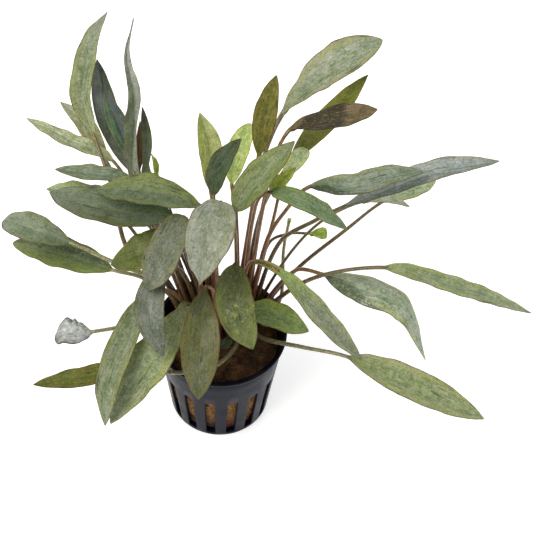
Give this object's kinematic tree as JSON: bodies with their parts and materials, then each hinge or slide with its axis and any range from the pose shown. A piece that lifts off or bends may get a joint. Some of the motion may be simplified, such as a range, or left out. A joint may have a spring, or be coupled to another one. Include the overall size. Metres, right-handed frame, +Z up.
{
  "type": "potted aquatic plant",
  "caption": "Small rosette water plant with long-stalked, arching lance-shaped leaves, growing from a fibrous plug in a slotted round nursery pot.",
  "frame": {"origin": "centre of the pot's flat underside, on the plane that the pot stands on", "axes": "+Z up along the pot axis; -Y is the front, the side that the picture was taken from; +X is to the right seen from the front, and the crown spreads widest along it"},
  "size_m": [0.215, 0.156, 0.147],
  "materials": {
    "leaf_sage": "satin",
    "leaf_slate": "satin",
    "leaf_green": "satin",
    "leaf_bright": "satin",
    "leaf_pale": "satin",
    "leaf_olive": "satin",
    "leaf_plum": "satin",
    "pot_plastic": "satin",
    "stone_wool": "matte",
    "rootstock_bark": "matte",
    "stalk_olive": "satin"
  },
  "bodies": {
    "root": {"pot": "pot_plastic", "growing_medium": "stone_wool", "rootstock": "rootstock_bark", "cut_stalk": "stalk_olive", "leaf_low_right": "leaf_sage", "leaf_arched_front_right": "leaf_sage", "leaf_curled_right": "leaf_sage", "leaf_long_right": "leaf_sage", "leaf_pale_right": "leaf_pale", "leaf_slim_right": "leaf_sage", "leaf_grey_right": "leaf_sage", "leaf_upper_right": "leaf_sage", "leaf_central_right": "leaf_sage", "leaf_bright_young": "leaf_bright", "leaf_pale_young": "leaf_pale", "leaf_green_top_right": "leaf_green", "leaf_purple_top_right": "leaf_plum", "leaf_tall_right": "leaf_sage", "leaf_olive_upright": "leaf_olive", "leaf_centre_upright": "leaf_sage", "leaf_bud": "leaf_bright", "leaf_upright_yellow": "leaf_green", "leaf_upright_dark": "leaf_slate", "leaf_upright_pale": "leaf_pale", "leaf_tall_left": "leaf_sage", "leaf_slate_left": "leaf_slate", "leaf_slim_left": "leaf_green", "leaf_twisted_left": "leaf_sage", "leaf_folded_brown": "leaf_olive", "leaf_edge_on_left": "leaf_slate", "leaf_sliver_left": "leaf_bright", "leaf_flat_left": "leaf_sage", "leaf_back_left": "leaf_sage", "leaf_middle_left": "leaf_sage", "leaf_broad_centre_left": "leaf_sage", "leaf_wide_left": "leaf_sage", "leaf_shadow_left": "leaf_pale", "leaf_far_left": "leaf_sage", "leaf_sagging_left": "leaf_green", "leaf_green_left": "leaf_green", "leaf_drooping_left": "leaf_sage", "leaf_hanging_left": "leaf_sage", "leaf_light_centre": "leaf_pale", "leaf_front_centre": "leaf_sage", "leaf_front_spotted": "leaf_green", "leaf_front_right": "leaf_sage", "leaf_big_front_left": "leaf_sage", "leaf_folded_front_left": "leaf_sage", "leaf_olive_front_left": "leaf_green", "leaf_white_left": "leaf_pale", "leaf_small_dark": "leaf_slate", "leaf_small_pale": "leaf_bright"}
  },
  "joints": []
}
